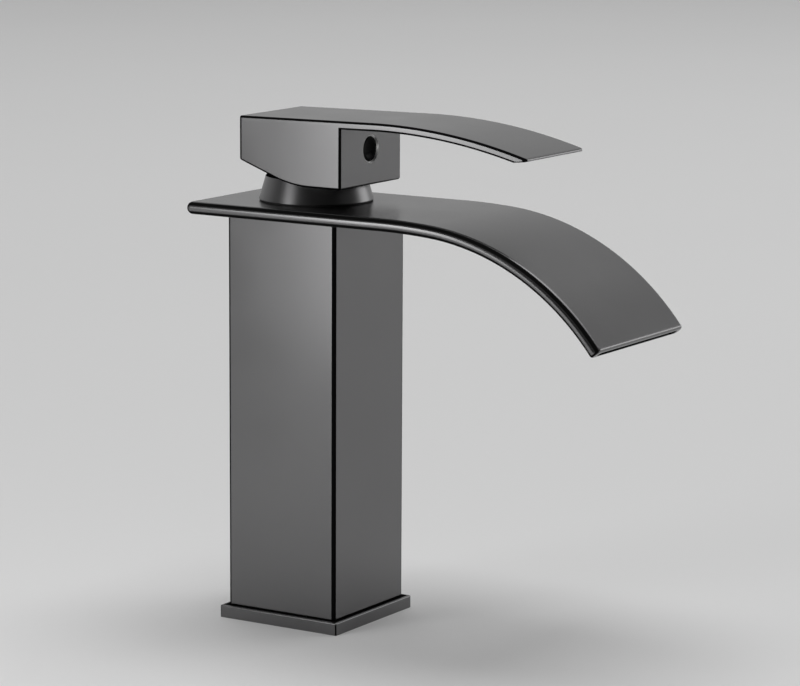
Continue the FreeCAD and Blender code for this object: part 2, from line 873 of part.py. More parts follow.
rotor_radius = neck_bore - s.rotor_clearance
rotor_blank = revolved(
    "rotor_blank",
    [
        (0, rotor_bottom),
        (housing_inside - s.rotor_foot_clearance, rotor_bottom),
        (housing_inside - s.rotor_foot_clearance, rotor_foot_top),
        (rotor_radius, rotor_foot_top),
        (rotor_radius, rotor_top),
        (0, rotor_top),
    ],
)
slot_front = boss_along + disc_travel + s.rotor_slot_end
slot_rear = tipped_stem(s.rotor_rise) + s.rotor_slot_end
pin_half = rotor_radius - s.pin_inset
cut(
    "cartridge_rotor",
    rotor_blank,
    box(
        "rotor_slot",
        (-slot_across, -slot_front, rotor_bottom - s.overrun),
        (slot_across, slot_rear, rotor_top + s.overrun),
    ),
    rod("pin_hole", s.pin_radius, -pin_half, pin_half, (as_size(0), pivot), "X"),
)
rod("pivot_pin", s.pin_radius, -pin_half, pin_half, (as_size(0), pivot), "X")


# Stem: one bar from the handle's socket down to its round foot, pivoting on the pin.

block_bottom = spout_top + s.block_gap
rear_top = spout_top + s.block_rise
cavity_roof = rear_top - s.block_roof
stem_top = cavity_roof - s.stem_roof_gap
eye_half = slot_across - s.stem_eye_clearance
arm_half = s.arm_thickness / 2
stem_blank = fused(
    "stem_blank",
    box("stem_bar", (-stem_half, -stem_half, pivot), (stem_half, stem_half, stem_top)),
    rod("stem_eye", s.stem_eye_radius, -eye_half, eye_half, (as_size(0), pivot), "X"),
    box("stem_arm_bar", (-paddle_half, -arm_half, paddle), (paddle_half, arm_half, pivot)),
    rod("stem_paddle", s.paddle_radius, -paddle_half, paddle_half, (as_size(0), paddle), "X"),
)
eye_reach = eye_half + s.overrun
eye_bore = s.pin_radius + s.pin_clearance
cut(
    "lever_stem",
    stem_blank,
    rod("stem_bore", eye_bore, -eye_reach, eye_reach, (as_size(0), pivot), "X"),
)


# Lever handle: block and blade in one casting, padded from the side view. The block is hollow over
# the shroud, with a socket for the stem and a boss for the set screw inside.

relief_radius = shroud_top_radius + s.relief_clearance
cavity_radius = relief_radius - s.relief_step
lever_half = relief_radius + s.relief_skirt
block_front = cavity_radius + s.block_front_wall
block_rear = cavity_radius + s.block_rear_wall
sole_y = -s.sole_flat_end + s.sole_radius * sine(s.sole_angle)
sole_z = block_bottom + s.sole_radius * (1 - cosine(s.sole_angle))
sole_rear_z = sole_z + (block_rear - sole_y) * tangent(s.sole_angle)

blade_y = -(block_front + s.blade_start)
blade_z = rear_top + (block_rear - blade_y) * tangent(s.top_angle)
arc_y = blade_y - s.blade_radius * sine(s.top_angle)
arc_z = blade_z - s.blade_radius * cosine(s.top_angle)
blade_tip_y = -(block_front + s.blade_reach)
blade_inner = s.blade_radius - s.blade_thickness
under_y = arc_y + blade_inner * sine(s.top_angle)
under_z = arc_z + blade_inner * cosine(s.top_angle)
root_z = under_z + (under_y + block_front) * tangent(s.top_angle)
tip_top_z = arc_z + root(s.blade_radius * s.blade_radius - (blade_tip_y - arc_y) * (blade_tip_y - arc_y))
cut_y = blade_tip_y + s.blade_undercut
cut_z = arc_z + root(blade_inner * blade_inner - (cut_y - arc_y) * (cut_y - arc_y))

lever_blank = padded(
    "lever_blank",
    "YZ_Plane",
    [
        (block_rear, rear_top),
        (blade_y, blade_z, s.blade_radius, 1),
        (blade_tip_y, tip_top_z),
        (blade_tip_y, tip_top_z - s.blade_tip_height),
        (cut_y, cut_z, blade_inner, -1),
        (under_y, under_z),
        (-block_front, root_z),
        (-block_front, block_bottom),
        (-s.sole_flat_end, block_bottom, s.sole_radius, 1),
        (sole_y, sole_z),
        (block_rear, sole_rear_z),
    ],
    2 * lever_half,
)
rounded(lever_blank, s.lever_edge_radius, lambda edge: True)

socket_half = stem_half + s.socket_clearance
socket_outer = socket_half + s.socket_wall
socket_low = cavity_roof - s.socket_length
socket_high = stem_top + s.socket_end_clearance
screw_z = block_bottom + s.screw_rise
recess_depth = s.plug_recess + s.plug_height
recess_floor = -(block_front - recess_depth)
relief_place = (as_size(0), -s.relief_shift)
lever_hollow = cut(
    "lever_hollow",
    lever_blank,
    rod("lever_cavity", cavity_radius, block_bottom - s.overrun, cavity_roof),
    rod(
        "lever_relief",
        relief_radius,
        block_bottom - s.overrun,
        block_bottom + s.relief_height,
        relief_place,
    ),
)
lever_bosses = fused(
    "lever_bosses",
    lever_hollow,
    box(
        "socket_boss",
        (-socket_outer, -socket_outer, socket_low),
        (socket_outer, socket_outer, cavity_roof + s.overrun),
    ),
    rod(
        "screw_boss",
        s.screw_radius + s.screw_boss_wall,
        -(cavity_radius + s.overrun),
        -socket_half,
        (as_size(0), screw_z),
        "Y",
    ),
)
screw_hole = s.screw_radius + s.thread_clearance
cut(
    "lever_handle",
    lever_bosses,
    box(
        "stem_socket",
        (-socket_half, -socket_half, socket_low - s.overrun),
        (socket_half, socket_half, socket_high),
    ),
    rod("screw_hole", screw_hole, recess_floor - s.overrun, as_size(0), (as_size(0), screw_z), "Y"),
    rod(
        "plug_recess_bore",
        s.plug_radius + s.plug_clearance,
        -(block_front + s.overrun),
        recess_floor,
        (as_size(0), screw_z),
        "Y",
    ),
)


# Set screw with its hexagon socket, and the plug that closes the hole over it.

screw_tail = -(stem_half + s.screw_length)
cut(
    "lever_screw",
    rod("screw_blank", s.screw_radius, screw_tail, -stem_half, (as_size(0), screw_z), "Y"),
    hexagon(
        "screw_key",
        s.screw_key_radius,
        screw_tail - s.overrun,
        screw_tail + s.screw_key_depth,
        (as_size(0), screw_z),
        "Y",
    ),
)
plug_face = recess_floor - s.plug_height
plug_stem = screw_hole - s.plug_stem_clearance
plug_blank = fused(
    "plug_blank",
    rod("plug_head", s.plug_radius, plug_face, recess_floor, (as_size(0), screw_z), "Y"),
    rod(
        "plug_stem",
        plug_stem,
        recess_floor,
        recess_floor + s.plug_stem_length,
        (as_size(0), screw_z),
        "Y",
    ),
)
dish_half = s.plug_dish_depth / 2
dish_radius = s.plug_dish_radius * s.plug_dish_radius / (2 * s.plug_dish_depth) + dish_half
dish = doc.addObject("Part::Sphere", "plug_dish")
dish.setExpression("Radius", dish_radius.formula)
put(dish, (as_size(0), plug_face + s.plug_dish_depth - dish_radius, screw_z))
cut("index_plug", plug_blank, dish)


# Fixing set: a stud in the foot block, a rubber washer and a steel plate open to the hoses, a nut.

washer_top = -s.deck_thickness
clamp_top = washer_top - s.washer_height
nut_top = clamp_top - s.clamp_height
nut_low = nut_top - s.fixing_nut_height
stud_low = nut_low - s.stud_tail
stud_hole = s.stud_radius + s.thread_clearance

stud = revolved(
    "fixing_stud",
    [
        (0, stud_low),
        (s.stud_radius - s.stud_chamfer, stud_low),
        (s.stud_radius, stud_low + s.stud_chamfer),
        (s.stud_radius, foot_top),
        (0, foot_top),
    ],
)
put(stud, (as_size(0), s.stud_back, as_size(0)))


def horseshoe(name, radius, low, high):
    x, y = s.inlet_across + s.hose_way_radius, -s.inlet_forward
    under, over = low - s.overrun, high + s.overrun
    return cut(
        name,
        rod(f"{name}_disc", radius, low, high),
        hose_way(f"{name}_hose_way", under, over),
        box(f"{name}_mouth", (-x, -(radius + s.overrun), under), (x, y, over)),
        rod(f"{name}_hole", stud_hole, under, over, stud_place),
    )


horseshoe("deck_washer", s.washer_radius, clamp_top, washer_top)
horseshoe("clamp_plate", s.clamp_radius, nut_top, clamp_top)
cut(
    "fixing_nut",
    hexagon("fixing_nut_blank", s.fixing_nut_radius, nut_low, nut_top, stud_place),
    rod("fixing_nut_thread", stud_hole, nut_low - s.overrun, nut_top + s.overrun, stud_place),
)


# Check every object, then write one file for each sub-part.

NODES = (
    "base_plate",
    "base_gasket",
    "column",
    "foot_block",
    "valve_body",
    "spout",
    "shroud",
    "shroud_seal",
    "cartridge_nut",
    "cartridge_housing",
    "cartridge_base",
    "base_seals",
    "disc_seals",
    "fixed_disc",
    "moving_disc",
    "disc_carrier",
    "cartridge_rotor",
    "pivot_pin",
    "lever_stem",
    "lever_handle",
    "lever_screw",
    "index_plug",
    "fixing_stud",
    "deck_washer",
    "clamp_plate",
    "fixing_nut",
)

doc.recompute()
failed = [item.Label for item in doc.Objects if {"Invalid", "Error"} & set(item.State)]
if failed:
    raise SystemExit(f"failed objects: {failed}")
parts = {name: doc.getObjectsByLabel(name)[0].Shape for name in NODES}
for name, shape in parts.items():
    if shape.isNull() or not shape.isValid() or not shape.Solids:
        raise SystemExit(f"bad shape: {name}")
os.makedirs("parts", exist_ok=True)
for name, shape in parts.items():
    shape.exportStep(f"parts/{name}.step")
    print(f"{name}: {len(shape.Solids)} solid, {shape.Volume:.1f} mm3")
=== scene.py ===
import math

import bmesh
import bpy
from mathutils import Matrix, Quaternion, Vector


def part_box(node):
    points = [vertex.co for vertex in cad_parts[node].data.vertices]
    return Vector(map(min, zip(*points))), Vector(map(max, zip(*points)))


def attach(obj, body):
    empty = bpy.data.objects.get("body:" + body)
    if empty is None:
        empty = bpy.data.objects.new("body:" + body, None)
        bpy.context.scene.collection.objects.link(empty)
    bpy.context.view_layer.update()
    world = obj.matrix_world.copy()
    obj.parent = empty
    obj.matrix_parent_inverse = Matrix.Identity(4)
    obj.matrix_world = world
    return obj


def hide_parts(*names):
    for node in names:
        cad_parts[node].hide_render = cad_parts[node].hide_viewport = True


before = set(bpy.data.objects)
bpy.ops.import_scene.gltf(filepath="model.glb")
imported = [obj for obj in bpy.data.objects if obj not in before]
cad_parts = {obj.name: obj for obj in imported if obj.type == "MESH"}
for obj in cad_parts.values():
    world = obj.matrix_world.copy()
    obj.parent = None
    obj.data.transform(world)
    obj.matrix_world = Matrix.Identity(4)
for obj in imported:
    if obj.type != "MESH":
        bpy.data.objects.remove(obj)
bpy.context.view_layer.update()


# Column: the tap's body, a square tube of cast brass with softened corners. It is ground flat and
# coated in dark satin grey, and the blocks, the spout and the base plate are fixed to it.

column_low, column_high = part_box("column")
column_wall = 0.0023
column_corner = 0.0014
column_foot = 0.0006

# How far a cutter runs past the metal, and how near two points count as one.
overrun = 0.001
hair = 1e-6


def placed(name):
    """Name the new primitive and put its place, turn and size into its mesh."""
    bpy.ops.object.transform_apply(location=True, rotation=True, scale=True)
    piece = bpy.context.object
    piece.name = piece.data.name = name
    return piece


def block(name, low, high):
    """A block between two opposite corners."""
    low, high = Vector(low), Vector(high)
    bpy.ops.mesh.primitive_cube_add(size=1, location=(low + high) / 2, scale=high - low)
    return placed(name)


def pick(piece):
    """Select the piece alone, to work on it."""
    bpy.ops.object.select_all(action="DESELECT")
    bpy.context.view_layer.objects.active = piece
    piece.select_set(True)


def edit(piece):
    pick(piece)
    bpy.ops.object.mode_set(mode="EDIT")


def done():
    bpy.ops.object.mode_set(mode="OBJECT")


def choose(kind, wanted):
    """In edit mode, select only the verts, edges or faces that wanted picks."""
    bpy.ops.mesh.select_mode(type=kind)
    bpy.ops.mesh.select_all(action="DESELECT")
    mesh = bmesh.from_edit_mesh(bpy.context.object.data)
    for item in {"VERT": mesh.verts, "EDGE": mesh.edges, "FACE": mesh.faces}[kind]:
        if wanted(item):
            item.select_set(True)
    mesh.select_flush_mode()
    bmesh.update_edit_mesh(bpy.context.object.data)


def upright(edge):
    first, last = (vert.co for vert in edge.verts)
    return (first.xy - last.xy).length < hair


def at_height(edge, height):
    return all(abs(vert.co.z - height) < hair for vert in edge.verts)


def softened(width, segments=4):
    """Round the selected edges."""
    bpy.ops.mesh.bevel(offset=width, segments=segments, affect="EDGES")


def apply(piece, kind, **settings):
    """Add a modifier to the piece and apply it."""
    modifier = piece.modifiers.new(kind.title(), kind)
    for name, value in settings.items():
        setattr(modifier, name, value)
    bpy.context.view_layer.objects.active = piece
    bpy.ops.object.modifier_apply(modifier=modifier.name)


def carve(piece, tool, operation="DIFFERENCE"):
    """Cut the tool out of the piece, join it, or keep what they share, and throw it away."""
    apply(piece, "BOOLEAN", operation=operation, object=tool, solver="EXACT")
    bpy.data.objects.remove(tool)


def smooth(piece, degrees=30):
    """Shade soft edges smooth, and let the large faces keep their own flat shading."""
    pick(piece)
    bpy.ops.object.shade_smooth_by_angle(angle=math.radians(degrees))
    apply(piece, "WEIGHTED_NORMAL", keep_sharp=True)


def fit(piece, cad_name, body, material):
    """Set the piece in the place of its CAD node, on its body and in its finish."""
    piece.data.materials.clear()
    piece.data.materials.append(material)
    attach(piece, body)
    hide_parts(cad_name)


def node(tree, kind, inputs=(), **settings):
    """Add a node. Each of its inputs is a value, or the socket that feeds it."""
    made = tree.nodes.new(kind)
    for name, value in settings.items():
        setattr(made, name, value)
    for name, value in dict(inputs).items():
        if isinstance(value, bpy.types.NodeSocket):
            tree.links.new(value, made.inputs[name])
        else:
            made.inputs[name].default_value = value
    return made


def maths(tree, operation, first, last):
    """Work out one value from two."""
    return node(tree, "ShaderNodeMath", {0: first, 1: last}, operation=operation).outputs["Value"]


def ramp(tree, value, start, full, low=0.0, high=1.0, **settings):
    """A value that runs from low to high, as another runs from start to full."""
    ranges = {"Value": value, "From Min": start, "From Max": full, "To Min": low, "To Max": high}
    return node(tree, "ShaderNodeMapRange", ranges, **settings).outputs["Result"]


def unsigned(tree, coordinate):
    """An Object or Normal coordinate along each axis, without its sign."""
    value = node(tree, "ShaderNodeTexCoord").outputs[coordinate]
    value = node(tree, "ShaderNodeVectorMath", {0: value}, operation="ABSOLUTE")
    return node(tree, "ShaderNodeSeparateXYZ", {"Vector": value.outputs["Vector"]}).outputs


def effect(name, inputs, outputs):
    """A new shader node group: its tree, its input sockets and its output sockets."""
    tree = bpy.data.node_groups.new(name, "ShaderNodeTree")
    for label, value in inputs.items():
        socket = tree.interface.new_socket(label, in_out="INPUT", socket_type="NodeSocketFloat")
        socket.default_value = value
    for label in outputs:
        tree.interface.new_socket(label, in_out="OUTPUT", socket_type="NodeSocketFloat")
    return tree, tree.nodes.new("NodeGroupInput").outputs, tree.nodes.new("NodeGroupOutput").inputs


def effect_in(tree, group, **values):
    """Place an effect in a material with its own values, and give its output sockets."""
    placed_group = tree.nodes.new("ShaderNodeGroup")
    placed_group.node_tree = group
    for label, value in values.items():
        placed_group.inputs[label.replace("_", " ")].default_value = value
    return placed_group.outputs


def finish(name, metallic=0.0):
    """A new material: itself, its node tree and its shader."""
    material = bpy.data.materials.new(name)
    material.use_nodes = True
    shader = material.node_tree.nodes["Principled BSDF"]
    shader.inputs["Metallic"].default_value = metallic
    return material, material.node_tree, shader


def blended(tree, shader, factor, first, last):
    """A base colour that runs from one to another by a factor."""
    colours = {"Factor": factor, "A": first, "B": last}
    mix = node(tree, "ShaderNodeMix", colours, data_type="RGBA")
    tree.links.new(mix.outputs["Result"], shader.inputs["Base Color"])


def coloured(tree, shader, factor, first, last):
    """A base colour that runs between two plain ones."""
    blended(tree, shader, factor, (*first, 1), (*last, 1))


def painted_shade(tree, shader, factor, shade_tone=0.006):
    """Paint shade on the metal: run it to a dull dark tone by a factor, as painted shade in place
    of shadow and dark reflections.
    """
    metal_colour = shader.inputs["Base Color"].links[0].from_socket
    blended(tree, shader, factor, metal_colour, (shade_tone, shade_tone, shade_tone, 1))
    tree.links.new(maths(tree, "SUBTRACT", 1.0, factor), shader.inputs["Metallic"])


def roughened(tree, shader, value, low, high):
    """A roughness from a noise, most of whose values lie between 0.3 and 0.7."""
    tree.links.new(ramp(tree, value, 0.3, 0.7, low, high), shader.inputs["Roughness"])


def bumped(tree, shader, height, strength, distance):
    """A faint relief, such as grain or tool marks."""
    relief = {"Height": height, "Strength": strength, "Distance": distance}
    normal = node(tree, "ShaderNodeBump", relief).outputs["Normal"]
    tree.links.new(normal, shader.inputs["Normal"])


# Fine grain for bump, and broad mottling for tone and roughness.
grain, grain_in, grain_out = effect(
    "surface_grain", {"Grain Scale": 3000.0, "Mottle Scale": 45.0}, ("Grain", "Mottle")
)
surface = node(grain, "ShaderNodeTexCoord").outputs["Object"]
for label, detail in (("Grain", 2.0), ("Mottle", 3.0)):
    pattern = {"Vector": surface, "Scale": grain_in[f"{label} Scale"], "Detail": detail}
    noise = node(grain, "ShaderNodeTexNoise", pattern)
    grain.links.new(noise.outputs["Fac"], grain_out[label])

# Where the skin turns over an edge, of a square piece and of one bent across the tap: the mask for
# painted shade, dark edges that stand in for dark reflections.
turn, turn_in, turn_out = effect("painted_edge_shade", {"Start": 0.99, "Full": 0.93}, ("Square", "Across"))
facing = unsigned(turn, "Normal")
straight = maths(turn, "MAXIMUM", facing["Y"], facing["Z"])
bent = node(turn, "ShaderNodeCombineXYZ", {"Y": facing["Y"], "Z": facing["Z"]}).outputs["Vector"]
bent = node(turn, "ShaderNodeVectorMath", {0: bent}, operation="LENGTH").outputs["Value"]
for label, value in (("Square", straight), ("Across", bent)):
    flatness = maths(turn, "MAXIMUM", facing["X"], value)
    start, full = turn_in["Start"], turn_in["Full"]
    mask = ramp(turn, flatness, start, full, interpolation_type="SMOOTHSTEP")
    turn.links.new(mask, turn_out[label])


def coated(name, roughness=(0.23, 0.27)):
    """The dark satin coating: its material, node tree and shader."""
    material, tree, shader = finish(name, metallic=1.0)
    skin = effect_in(tree, grain, Grain_Scale=4000.0, Mottle_Scale=38.0)
    coloured(tree, shader, skin["Mottle"], (0.158, 0.157, 0.159), (0.174, 0.173, 0.175))
    roughened(tree, shader, skin["Mottle"], *roughness)
    bumped(tree, shader, skin["Grain"], 0.04, 0.00005)
    shader.inputs["Specular IOR Level"].default_value = 0
    return material, tree, shader


column_coating, tree, shader = coated("coating_on_column")
# Painted shade: the column's rounded edges are painted dark, in place of their dark reflections.
painted_shade(tree, shader, effect_in(tree, turn, Start=0.9985, Full=0.98)["Square"])

column = block("column_tube", column_low, column_high)
edit(column)
choose("EDGE", upright)
softened(column_corner, segments=8)
choose("EDGE", lambda edge: at_height(edge, column_low.z))
softened(column_foot)
done()
wall_inset = Vector((column_wall, column_wall, -overrun))
carve(column, block("column_hollow", column_low + wall_inset, column_high - wall_inset))
smooth(column)
fit(column, "column", "root", column_coating)


# Foot block and valve body: two brass blocks brazed into the column. The foot block takes the
# fixing stud, and the valve body holds the cartridge and the waterways, bored and milled bright.

# Rings that a turning or milling tool leaves round the tap's axis.
marks, marks_in, marks_out = effect("tool_marks", {"Scale": 900.0, "Wander": 0.6}, ("Marks",))
surface = node(marks, "ShaderNodeTexCoord").outputs["Object"]
rings = node(
    marks,
    "ShaderNodeTexWave",
    {"Vector": surface, "Scale": marks_in["Scale"], "Distortion": marks_in["Wander"]},
    wave_type="RINGS",
    rings_direction="Z",
)
marks.links.new(rings.outputs["Fac"], marks_out["Marks"])


def dress(material, *names):
    """Give CAD nodes that stay as they are their finish."""
    for name in names:
        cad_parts[name].material_slots[0].material = material


brass, tree, shader = finish("machined_brass", metallic=1.0)
skin = effect_in(tree, grain, Grain_Scale=2500.0, Mottle_Scale=60.0)
cutting = effect_in(tree, marks, Scale=900.0, Wander=0.6)
coloured(tree, shader, skin["Mottle"], (0.60, 0.43, 0.18), (0.70, 0.53, 0.26))
roughened(tree, shader, skin["Grain"], 0.26, 0.40)
bumped(tree, shader, cutting["Marks"], 0.12, 0.00002)
dress(brass, "foot_block", "valve_body", "cartridge_nut")


# Spout: a flat hollow brass plate with full-round edges, bent down at its front and brazed on the
# column's head. The water runs through the duct inside it and leaves by the slot along its tip.

spout_low, spout_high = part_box("spout")
spout_thickness = 0.0046
run_front = -0.0453
lead_radius, lead_angle = 0.2268, math.radians(5)
bend_radius, bend_angle = 0.0928, math.radians(46.7)
lead_steps, bend_steps = 6, 48
tip_run = 0.0015
corner_round = 0.0022
lip_round = 0.001
slot_lip = 0.0003
slot_half = 0.0276
duct_rear = -0.0212
nut_hole_radius = 0.0187

spout_middle = spout_high.z - spout_thickness / 2
tip_angle = lead_angle + bend_angle
onward = Vector((0, -math.cos(tip_angle), -math.sin(tip_angle)))
outward = Vector((0, -math.sin(lead_angle), math.cos(lead_angle)))
lead_centre = Vector((0, run_front, spout_middle - lead_radius))
bend_centre = lead_centre + outward * (lead_radius - bend_radius)


def everything():
    """Select the whole mesh."""
    bpy.ops.mesh.select_all(action="SELECT")


def pushed(shift):
    """Extrude what is selected."""
    bpy.ops.mesh.extrude_region_move(TRANSFORM_OT_translate={"value": shift})


def swept(angle, centre, steps):
    """Sweep the selected face forward and down round a centre line across the tap."""
    bpy.ops.mesh.spin(steps=steps, angle=angle, center=centre, axis=(-1, 0, 0))


def drum(name, radius, low, high, across=(0, 0), axis="Z", sides=96):
    """A cylinder from low to high on an axis, at across on the other two."""
    middle = (low + high) / 2
    x, y = across
    bpy.ops.mesh.primitive_cylinder_add(
        vertices=sides,
        radius=radius,
        depth=high - low,
        location=(x, y, middle) if axis == "Z" else (x, middle, y),
        rotation=(0, 0, 0) if axis == "Z" else (math.pi / 2, 0, 0),
    )
    return placed(name)


def looks(face, direction):
    """Whether a face looks squarely in a direction."""
    return face.normal.dot(Vector(direction)) > 0.99


def part_of_spout(face):
    if looks(face, onward):
        return "tip"
    upstand = face.calc_center_median().y > run_front and abs(face.normal.z) < 0.1
    return "rim" if upstand or abs(face.normal.x) > 0.9 else "skin"


def rear_corner(edge):
    return upright(edge) and edge.verts[0].co.y > spout_high.y - hair


def rim_edge(edge):
    return {part_of_spout(face) for face in edge.link_faces} == {"rim", "skin"}


def tip_edge(edge):
    return [part_of_spout(face) for face in edge.link_faces].count("tip") == 1


spout_coating, tree, shader = coated("coating_on_spout")
# Painted shade: the spout's full-round rim is painted dark, in place of its dark reflections.
painted_shade(tree, shader, effect_in(tree, turn, Start=0.97, Full=0.86)["Across"], shade_tone=0.007)

spout = block("spout_plate", (spout_low.x, run_front, spout_high.z - spout_thickness), spout_high)
edit(spout)
choose("FACE", lambda face: looks(face, (0, -1, 0)))
swept(lead_angle, lead_centre, lead_steps)
swept(bend_angle, bend_centre, bend_steps)
pushed(onward * tip_run)
choose("EDGE", rear_corner)
softened(corner_round, segments=10)
choose("EDGE", rim_edge)
softened(spout_thickness / 2 - hair, segments=10)
everything()
bpy.ops.mesh.remove_doubles(threshold=10 * hair)
choose("EDGE", tip_edge)
softened(lip_round)
choose("FACE", lambda face: part_of_spout(face) == "tip")
bpy.ops.mesh.inset(thickness=slot_lip)
inset_half = spout_high.x - lip_round - slot_lip
bpy.ops.transform.resize(value=(slot_half / inset_half, 1, 1))
pushed(-onward * tip_run)
swept(-bend_angle, bend_centre, bend_steps)
swept(-lead_angle, lead_centre, lead_steps)
pushed((0, duct_rear - run_front, 0))
done()
hole_low, hole_high = spout_middle - spout_thickness, spout_middle + spout_thickness
carve(spout, drum("nut_hole", nut_hole_radius, hole_low, hole_high))
smooth(spout)
fit(spout, "spout", "root", spout_coating)


# Base plate: a square plate of cast brass with softened edges, opened in the middle for the hoses
# and grooved below for its gasket. The foot block's spigot centres it, and the stud pulls it down.

plate_low, plate_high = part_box("base_plate")
plate_edge = 0.0005
opening_radius = 0.0165
groove_inner, groove_outer, groove_depth = 0.0184, 0.0231, 0.002

# Painted shade: the coating is painted dark in a line along the column's foot, for the shadow in
# the joint there, and at the rounded corners below the top edge, in place of their dark
# reflections.
seat_line, seat_fade = 0.0016, 0.0003
corner_fade = 0.0001

plate_coating, tree, shader = coated("coating_on_base_plate")
place = unsigned(tree, "Object")
seat_end = column_high.x + seat_line
painted_seat_shade = maths(tree, "MAXIMUM", place["X"], place["Y"])
painted_seat_shade = ramp(tree, painted_seat_shade, seat_end, seat_end - seat_fade)
corner_top = plate_high.z - plate_edge
below = ramp(tree, place["Z"], corner_top, corner_top - corner_fade)
painted_corner_shade = effect_in(tree, turn, Start=0.9985, Full=0.98)["Square"]
painted_corner_shade = maths(tree, "MULTIPLY", painted_corner_shade, below)
painted_shade(tree, shader, maths(tree, "MAXIMUM", painted_corner_shade, painted_seat_shade))

plate = block("base_square", plate_low, plate_high)
edit(plate)
choose("EDGE", lambda edge: upright(edge) or at_height(edge, plate_high.z))
softened(plate_edge)
done()
carve(plate, drum("base_opening", opening_radius, -overrun, plate_high.z + overrun))
groove = drum("gasket_groove", groove_outer, -overrun, groove_depth)
carve(groove, drum("groove_core", groove_inner, -2 * overrun, groove_depth + overrun))
carve(plate, groove)
smooth(plate)
fit(plate, "base_plate", "root", plate_coating)


# Base gasket: a flat ring of black rubber with rounded edges, moulded, pressed into the groove
# under the base plate to keep water from running in below it.

gasket_low, gasket_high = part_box("base_gasket")
gasket_bore = 0.0185
gasket_edge = 0.0004

rubber, tree, shader = finish("black_rubber")
skin = effect_in(tree, grain, Grain_Scale=1800.0, Mottle_Scale=150.0)
coloured(tree, shader, skin["Mottle"], (0.014, 0.014, 0.014), (0.034, 0.033, 0.032))
roughened(tree, shader, skin["Grain"], 0.62, 0.82)
bumped(tree, shader, skin["Grain"], 0.25, 0.00008)


def bevelled(piece, width):
    """Round every sharp edge of the piece."""
    sharp = math.radians(30)
    apply(piece, "BEVEL", width=width, segments=3, limit_method="ANGLE", angle_limit=sharp)


gasket = drum("gasket_ring", gasket_high.x, gasket_low.z, gasket_high.z)
carve(gasket, drum("gasket_bore", gasket_bore, gasket_low.z - overrun, gasket_high.z + overrun))
bevelled(gasket, gasket_edge)
smooth(gasket)
fit(gasket, "base_gasket", "root", rubber)


# Cartridge: a plastic housing and base around two lapped ceramic discs, with a rotor and a slide
# that move the upper disc, and rubber rings at its ports. It drops into the valve body from above.


def moulded(name, first, last, roughness):
    """A moulded plastic with a faint sparked grain."""
    material, tree, shader = finish(name)
    skin = effect_in(tree, grain, Grain_Scale=2200.0, Mottle_Scale=90.0)
    coloured(tree, shader, skin["Mottle"], first, last)
    roughened(tree, shader, skin["Grain"], *roughness)
    bumped(tree, shader, skin["Grain"], 0.12, 0.00005)
    return material


white_plastic = moulded("off_white_plastic", (0.68, 0.68, 0.66), (0.75, 0.75, 0.73), (0.40, 0.52))
grey_plastic = moulded("dark_grey_plastic", (0.18, 0.19, 0.20), (0.22, 0.23, 0.24), (0.36, 0.48))
dress(white_plastic, "cartridge_housing", "cartridge_base")
dress(grey_plastic, "cartridge_rotor", "disc_carrier")
dress(rubber, "base_seals", "disc_seals")

ceramic, tree, shader = finish("lapped_ceramic")
skin = effect_in(tree, grain, Grain_Scale=5000.0, Mottle_Scale=300.0)
coloured(tree, shader, skin["Mottle"], (0.78, 0.76, 0.72), (0.85, 0.83, 0.79))
roughened(tree, shader, skin["Grain"], 0.12, 0.20)
dress(ceramic, "fixed_disc", "moving_disc")


# Pivot pin, stem and set screw: steel, turned from bar and, for the stem, cast and trimmed. The
# stem swings on the pin in the rotor, and the screw clamps the lever to the stem's square.

steel, tree, shader = finish("plated_steel", metallic=1.0)
skin = effect_in(tree, grain, Grain_Scale=1500.0, Mottle_Scale=120.0)
cutting = effect_in(tree, marks, Scale=1400.0, Wander=0.4)
coloured(tree, shader, skin["Mottle"], (0.50, 0.51, 0.53), (0.60, 0.61, 0.62))
roughened(tree, shader, skin["Mottle"], 0.22, 0.36)
bumped(tree, shader, cutting["Marks"], 0.08, 0.00002)
dress(steel, "pivot_pin", "lever_screw")

cast_metal, tree, shader = finish("cast_stem_metal", metallic=1.0)
skin = effect_in(tree, grain, Grain_Scale=900.0, Mottle_Scale=80.0)
coloured(tree, shader, skin["Mottle"], (0.45, 0.45, 0.45), (0.54, 0.54, 0.54))
roughened(tree, shader, skin["Grain"], 0.38, 0.55)
bumped(tree, shader, skin["Grain"], 0.2, 0.0001)
dress(cast_metal, "lever_stem")


# Shroud and its ring: a turned brass cone, coated like the column, that screws on the collar of
# the cartridge nut and hides it. A thin black ring lies between its foot and the spout.

cone_low, cone_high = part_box("shroud")
cone_top_radius = 0.0180
cone_rim = 0.0004
cone_sides = 160
mouth_radius = 0.01095
collar_bore = 0.01725
collar_ledge = 0.1562
shaded_top_start, shaded_top_full = 0.4, 0.65


def end_of_cone(edge):
    return at_height(edge, cone_low.z) or at_height(edge, cone_high.z)


bpy.ops.mesh.primitive_cone_add(
    vertices=cone_sides,
    radius1=cone_high.x,
    radius2=cone_top_radius,
    depth=cone_high.z - cone_low.z,
    location=(0, 0, (cone_low.z + cone_high.z) / 2),
)
cone = placed("cone_shroud")
edit(cone)
choose("EDGE", end_of_cone)
softened(cone_rim)
choose("FACE", lambda face: looks(face, (0, 0, 1)))
bpy.ops.mesh.inset(thickness=cone_top_radius - cone_rim - mouth_radius)
pushed((0, 0, collar_ledge - cone_high.z))
bpy.ops.mesh.delete(type="ONLY_FACE")
choose("FACE", lambda face: looks(face, (0, 0, -1)))
bpy.ops.mesh.inset(thickness=cone_high.x - cone_rim - collar_bore)
pushed((0, 0, collar_ledge - cone_low.z))
bpy.ops.mesh.delete(type="ONLY_FACE")
choose("EDGE", lambda edge: edge.is_boundary)
bpy.ops.mesh.bridge_edge_loops()
done()
smooth(cone)
cone_coating, tree, shader = coated("coating_on_cone", roughness=(0.28, 0.33))
